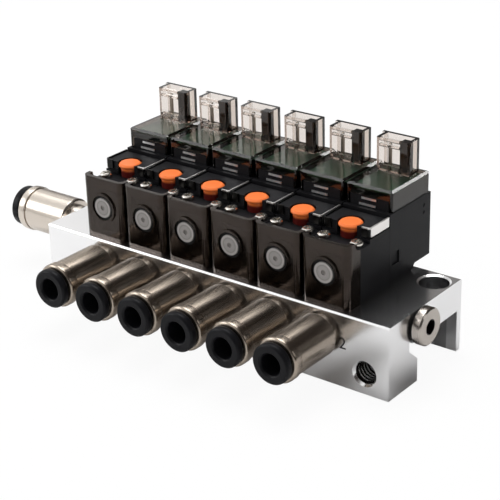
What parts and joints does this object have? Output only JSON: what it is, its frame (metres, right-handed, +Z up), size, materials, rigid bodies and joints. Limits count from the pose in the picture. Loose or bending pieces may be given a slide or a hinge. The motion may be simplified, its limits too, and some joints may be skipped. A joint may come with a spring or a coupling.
{
  "type": "solenoid valve manifold",
  "caption": "Drilled aluminium manifold block with a row of miniature solenoid valves, push-in tube fittings in front, orange manual override buttons and clear plug sockets on top",
  "frame": {"origin": "middle of the wide foot's sole, on the mounting plane at mid length of the block", "axes": "X along the block towards the plugged end, Y from the tube side to the back, Z up"},
  "size_m": [0.1008, 0.0436, 0.0387],
  "materials": {
    "aluminium_block": "bright extruded aluminium, fine drawn lines",
    "nickel": "polished nickel plate on turned brass",
    "black_ring": "satin black moulding",
    "rubber": "black seal rubber",
    "plated_screw": "bright plated steel",
    "white_plastic": "white moulding",
    "plated_sheet": "bright sheet steel",
    "board_green": "green lacquered board",
    "tinned": "tinned contact metal",
    "bobbin_plastic": "natural moulding",
    "copper": "enamelled copper wire",
    "steel": "turned magnetic steel",
    "smoke_cap": "smoke brown translucent moulding",
    "black_plastic": "black glass-filled moulding",
    "clear_cover": "smoke-clear moulding",
    "orange_plastic": "orange moulding"
  },
  "bodies": {
    "bank": {"manifold_block": "aluminium_block", "supply_fitting": "nickel", "end_plug": "nickel", "seal_rings": "rubber", "valve_gaskets": "rubber", "valve_screws": "plated_screw", "seat_plugs": "white_plastic", "override_clips": "plated_sheet", "coil_housings": "black_plastic", "circuit_boards": "board_green", "terminals": "tinned", "bobbins": "bobbin_plastic", "coil_windings": "copper", "fixed_cores": "steel", "yokes": "steel", "return_springs": "steel", "cap_1": "smoke_cap", "cap_2": "smoke_cap", "cap_3": "smoke_cap", "cap_4": "smoke_cap", "cap_5": "smoke_cap", "cap_6": "smoke_cap", "valve_body_1": "black_plastic", "valve_body_2": "black_plastic", "valve_body_3": "black_plastic", "valve_body_4": "black_plastic", "valve_body_5": "black_plastic", "valve_body_6": "black_plastic", "cover_1": "clear_cover", "cover_2": "clear_cover", "cover_3": "clear_cover", "cover_4": "clear_cover", "cover_5": "clear_cover", "cover_6": "clear_cover", "fitting_1": "nickel", "fitting_2": "nickel", "fitting_3": "nickel", "fitting_4": "nickel", "fitting_5": "nickel", "fitting_6": "nickel"},
    "override_button_1": {"button_1": "orange_plastic"},
    "moving_core_1": {"armature_1": "steel"},
    "outlet_ring_1": {"release_ring_1": "black_ring"},
    "override_button_2": {"button_2": "orange_plastic"},
    "moving_core_2": {"armature_2": "steel"},
    "outlet_ring_2": {"release_ring_2": "black_ring"},
    "override_button_3": {"button_3": "orange_plastic"},
    "moving_core_3": {"armature_3": "steel"},
    "outlet_ring_3": {"release_ring_3": "black_ring"},
    "override_button_4": {"button_4": "orange_plastic"},
    "moving_core_4": {"armature_4": "steel"},
    "outlet_ring_4": {"release_ring_4": "black_ring"},
    "override_button_5": {"button_5": "orange_plastic"},
    "moving_core_5": {"armature_5": "steel"},
    "outlet_ring_5": {"release_ring_5": "black_ring"},
    "override_button_6": {"button_6": "orange_plastic"},
    "moving_core_6": {"armature_6": "steel"},
    "outlet_ring_6": {"release_ring_6": "black_ring"},
    "supply_ring": {"supply_release_ring": "black_ring"}
  },
  "joints": [
    {"name": "button_1_press", "type": "slide", "parent": "bank", "child": "override_button_1", "axis": [0, 0, -1], "range_m": [0, 0.001], "stiffness_N_per_m": 400},
    {"name": "armature_1_slide", "type": "slide", "parent": "bank", "child": "moving_core_1", "axis": [0, 1, 0], "range_m": [0, 0.0005], "deforming": ["return_springs"]},
    {"name": "release_ring_1_press", "type": "slide", "parent": "bank", "child": "outlet_ring_1", "axis": [0, 1, 0], "range_m": [0, 0.0004], "stiffness_N_per_m": 400},
    {"name": "button_2_press", "type": "slide", "parent": "bank", "child": "override_button_2", "axis": [0, 0, -1], "range_m": [0, 0.001], "stiffness_N_per_m": 400},
    {"name": "armature_2_slide", "type": "slide", "parent": "bank", "child": "moving_core_2", "axis": [0, 1, 0], "range_m": [0, 0.0005]},
    {"name": "release_ring_2_press", "type": "slide", "parent": "bank", "child": "outlet_ring_2", "axis": [0, 1, 0], "range_m": [0, 0.0004], "stiffness_N_per_m": 400},
    {"name": "button_3_press", "type": "slide", "parent": "bank", "child": "override_button_3", "axis": [0, 0, -1], "range_m": [0, 0.001], "stiffness_N_per_m": 400},
    {"name": "armature_3_slide", "type": "slide", "parent": "bank", "child": "moving_core_3", "axis": [0, 1, 0], "range_m": [0, 0.0005]},
    {"name": "release_ring_3_press", "type": "slide", "parent": "bank", "child": "outlet_ring_3", "axis": [0, 1, 0], "range_m": [0, 0.0004], "stiffness_N_per_m": 400},
    {"name": "button_4_press", "type": "slide", "parent": "bank", "child": "override_button_4", "axis": [0, 0, -1], "range_m": [0, 0.001], "stiffness_N_per_m": 400},
    {"name": "armature_4_slide", "type": "slide", "parent": "bank", "child": "moving_core_4", "axis": [0, 1, 0], "range_m": [0, 0.0005]},
    {"name": "release_ring_4_press", "type": "slide", "parent": "bank", "child": "outlet_ring_4", "axis": [0, 1, 0], "range_m": [0, 0.0004], "stiffness_N_per_m": 400},
    {"name": "button_5_press", "type": "slide", "parent": "bank", "child": "override_button_5", "axis": [0, 0, -1], "range_m": [0, 0.001], "stiffness_N_per_m": 400},
    {"name": "armature_5_slide", "type": "slide", "parent": "bank", "child": "moving_core_5", "axis": [0, 1, 0], "range_m": [0, 0.0005]},
    {"name": "release_ring_5_press", "type": "slide", "parent": "bank", "child": "outlet_ring_5", "axis": [0, 1, 0], "range_m": [0, 0.0004], "stiffness_N_per_m": 400},
    {"name": "button_6_press", "type": "slide", "parent": "bank", "child": "override_button_6", "axis": [0, 0, -1], "range_m": [0, 0.001], "stiffness_N_per_m": 400},
    {"name": "armature_6_slide", "type": "slide", "parent": "bank", "child": "moving_core_6", "axis": [0, 1, 0], "range_m": [0, 0.0005]},
    {"name": "release_ring_6_press", "type": "slide", "parent": "bank", "child": "outlet_ring_6", "axis": [0, 1, 0], "range_m": [0, 0.0004], "stiffness_N_per_m": 400},
    {"name": "supply_ring_press", "type": "slide", "parent": "bank", "child": "supply_ring", "axis": [1, 0, 0], "range_m": [0, 0.0004], "stiffness_N_per_m": 400}
  ],
  "couplings": [
    {"joint": "armature_1_slide", "follows": "button_1_press", "ratio": 0.5},
    {"joint": "armature_2_slide", "follows": "button_2_press", "ratio": 0.5},
    {"joint": "armature_3_slide", "follows": "button_3_press", "ratio": 0.5},
    {"joint": "armature_4_slide", "follows": "button_4_press", "ratio": 0.5},
    {"joint": "armature_5_slide", "follows": "button_5_press", "ratio": 0.5},
    {"joint": "armature_6_slide", "follows": "button_6_press", "ratio": 0.5}
  ]
}
